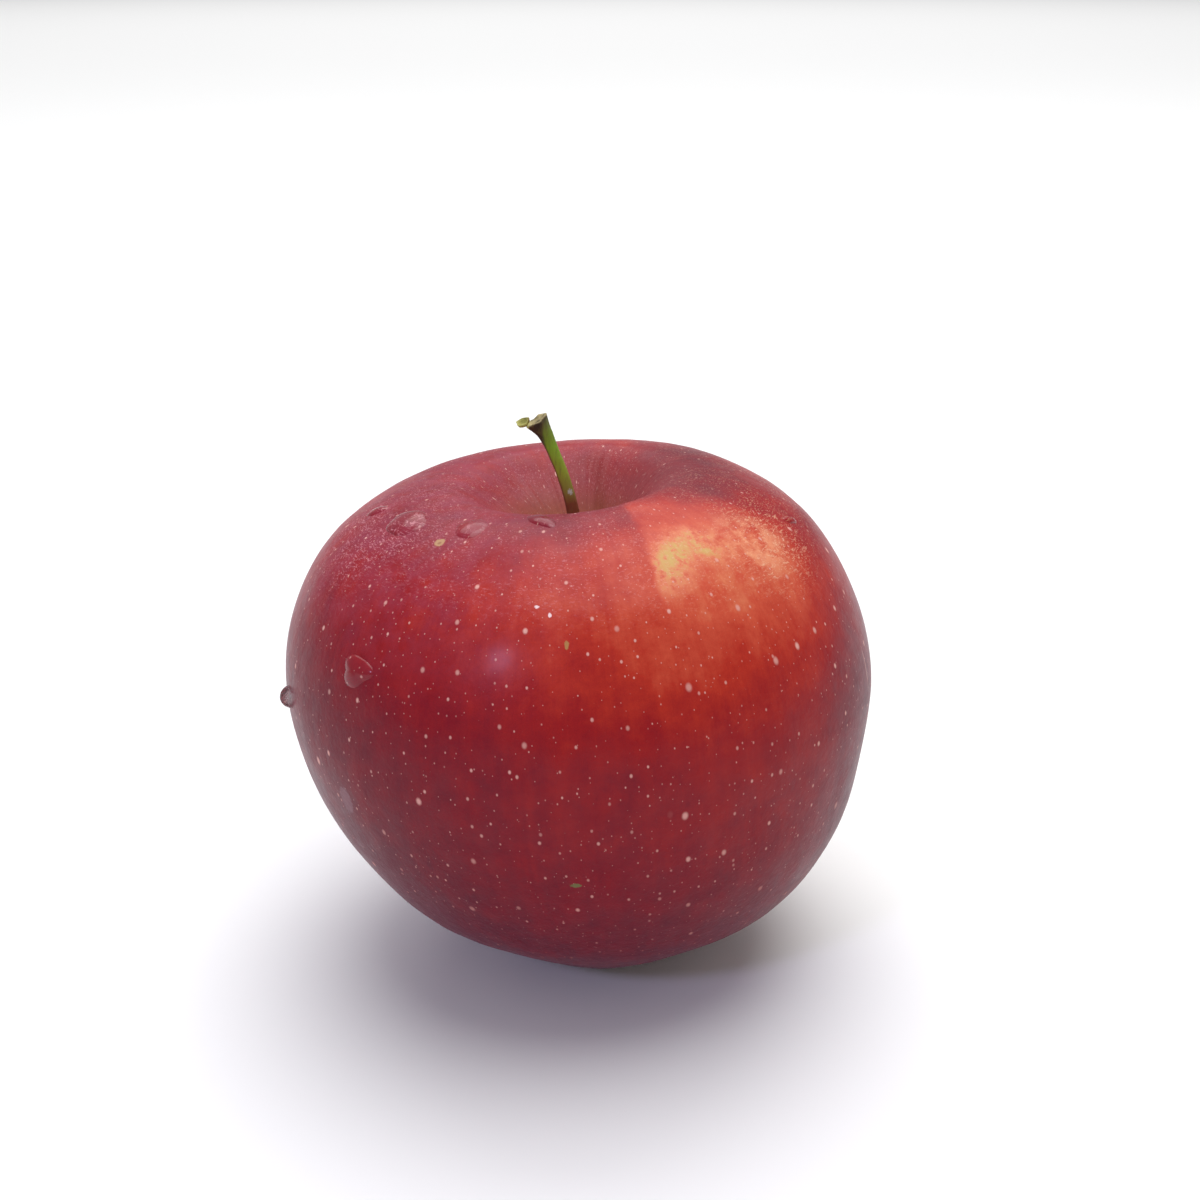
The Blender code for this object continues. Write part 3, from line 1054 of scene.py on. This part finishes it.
# %% [markdown]
# ## Drops of water
#
# A drop on wax is a low dome with a wandering edge. We put each one on the skin's nearest point, lay it
# along the skin there and sink its flat side a little, so that no gap shows. Real water bends light, which
# is slow and grainy to render through so thin a lens. So the flat drops wear the skin's own colours, only
# smoother and deeper, and the one bead that hangs at the fruit's edge is clear water.

# %% A dome on the skin

DROPS = [
    # a point near the skin, length, width and height of the dome in mm, turn in degrees, how pointed
    ((-22.0, -11.5, 67.0), 7.2, 5.6, 0.55, 10, 0.03),
    ((-13.5, -17.0, 69.0), 5.0, 4.8, 0.38, 70, 0.03),
    ((-4.7, -17.0, 70.0), 5.6, 2.9, 0.38, 10, 0.06),
    ((-27.0, -3.4, 66.0), 4.2, 2.6, 0.35, 60, 0.06),
    ((-26.8, -26.7, 52.6), 5.6, 3.9, 0.60, 15, 0.15),
    ((28.0, -7.0, 66.0), 3.4, 1.5, 0.35, -30, 0.05),
]
HANGING_DROPS = [((-38.5, -13.0, 42.8), 3.2, 2.6, 1.30, 90, 0.10)]
DROP_RINGS, DROP_SIDES, DROP_SINK = 16, 40, 0.30
SKIN_CURVE = 2 * FRUIT_SIZES["Half Width"] / MM


def add_drop(work, target, length, width, height, turn, pointed):
    """One closed dome on the skin, with its flat side just under it."""
    _, place, normal, _ = apple.closest_point_on_mesh(Vector(target) * MM)
    upright = normal.to_track_quat("Z", "Y").to_matrix().to_4x4()
    frame_here = Matrix.Translation(place) @ upright @ Matrix.Rotation(math.radians(turn), 4, "Z")
    phase = target[0]
    rings = [[work.verts.new(frame_here @ (Vector((0, 0, height)) * MM))]]
    for step in range(1, DROP_RINGS + 1):
        rise = math.pi / 2 * step / DROP_RINGS
        ring = []
        for k in range(DROP_SIDES):
            angle = math.tau * k / DROP_SIDES
            edge = 1 + 0.05 * math.sin(2 * angle + phase) + 0.03 * math.sin(5 * angle + 2 * phase)
            edge += pointed * math.cos(3 * angle)
            reach = math.sin(rise) * edge / 2
            point = Vector((length * math.cos(angle) * reach, width * math.sin(angle) * reach, 0))
            sag = point.length_squared / SKIN_CURVE
            point.z = (height + DROP_SINK) * math.cos(rise) - DROP_SINK - sag
            ring.append(work.verts.new(frame_here @ (point * MM)))
        rings.append(ring)
    rings.append([work.verts.new(frame_here @ (Vector((0, 0, -2 * DROP_SINK)) * MM))])
    join_rings(work, rings)


print(len(DROPS), "flat drops and", len(HANGING_DROPS), "hanging one")

# %% The water, and the drops

WET_FINISH = {
    "Roughness": 0.22,
    "Specular IOR Level": 0.22,
    "Coat Weight": 0.16,
    "Coat Roughness": 0.08,
}
WET_RED = (0.24, 0.014, 0.024, 1)
WATER = {
    "Transmission Weight": 1.0,
    "IOR": 1.333,
    "Roughness": 0.02,
    "Alpha": 0.85,
    "Base Color": (1, 1, 1, 1),
}


def make_wet_skin():
    """A flat drop looks like the skin under it, but smooth, deeper in colour and glossy."""
    material, graph, shader = new_material("wet_apple_skin", WET_FINISH)
    place = object_place(graph)
    colour = draw_skin_colour(graph, place, place)[0]
    connect(graph, shader, {"Base Color": graph.blend(0.22, colour, WET_RED)})
    return material


def add_drops(name, drops, material):
    """One piece for all drops that are made of the same stuff."""
    mesh = bpy.data.meshes.new(name)
    work = bmesh.new()
    for drop in drops:
        add_drop(work, *drop)
    work.to_mesh(mesh)
    work.free()
    mesh.shade_smooth()
    mesh.materials.append(material)
    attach(add_object(name, mesh), "root")
    print(name, "has", len(drops), "drops")


add_drops("flat_drops", DROPS, make_wet_skin())
add_drops("hanging_drop", HANGING_DROPS, new_material("clear_water", WATER)[0])

# %% [markdown]
# ## The studio
#
# A fruit looks freshest in even light on a pale ground. A wide soft lamp hangs overhead, a second one
# washes the floor behind, and a small cool lamp at the left gives the one highlight on that cheek. The air
# itself glows a little, so that no side turns black. The camera looks down on the fruit from close by.

# %% Floor, lights and camera

FLOOR_RADIUS = 8.0
PAPER = {"Roughness": 0.9, "Base Color": (0.90, 0.90, 0.90, 1)}
AIR_GLOW = 0.38
CAMERA_PLACE = (2.8, -213.0, 135.0)
CAMERA_TILT = 21.4
LAMPS = [
    # name, place and target in m, width in m, power in W, colour
    ("overhead", (0.15, 0.10, 1.60), (0, 0, 0.035), 1.6, 20.0, (1, 1, 1)),
    ("back_wash", (0.0, 3.4, 3.2), (0.0, 3.6, 0.0), 5.0, 110.0, (1, 1, 1)),
    ("cool_lamp", (-0.40, -0.60, 0.50), (0, 0, 0.035), 0.10, 1.3, (0.60, 0.58, 1.0)),
]


def add_floor():
    """A pale round floor, wide enough to fill the view up to its horizon."""
    mesh = bpy.data.meshes.new("studio_floor")
    work = bmesh.new()
    bmesh.ops.create_circle(work, cap_ends=True, radius=FLOOR_RADIUS, segments=96)
    work.to_mesh(mesh)
    work.free()
    mesh.materials.append(new_material("pale_paper", PAPER)[0])
    add_object("studio_floor", mesh)


def add_lamp(name, place, target, size, power, colour):
    """A round soft lamp that lights the scene but isn't seen itself."""
    lamp = bpy.data.lights.new(name, "AREA")
    lamp.shape = "DISK"
    lamp.size, lamp.energy, lamp.color = size, power, colour
    light = add_object(name, lamp)
    light.visible_camera = False
    light.location = place
    light.rotation_euler = (Vector(target) - Vector(place)).to_track_quat("-Z", "Y").to_euler()


def add_camera():
    """A camera close to the fruit that looks down on its shoulders."""
    data = bpy.data.cameras.new("camera")
    data.lens = 49.8
    data.sensor_width = 36.0
    camera = add_object("camera", data)
    camera.location = Vector(CAMERA_PLACE) * MM
    camera.rotation_euler = (math.radians(90 - CAMERA_TILT), 0, 0)
    bpy.context.scene.camera = camera


def add_air():
    """An even glow from all around."""
    world = bpy.data.worlds.new("studio_air")
    world.use_nodes = True
    glow = world.node_tree.nodes["Background"]
    glow.inputs["Color"].default_value = (1, 1, 1, 1)
    glow.inputs["Strength"].default_value = AIR_GLOW
    bpy.context.scene.world = world


add_floor()
for lamp in LAMPS:
    add_lamp(*lamp)
add_camera()
add_air()
bpy.context.scene.view_settings.view_transform = "Standard"
print(len(LAMPS), "lamps, one camera")
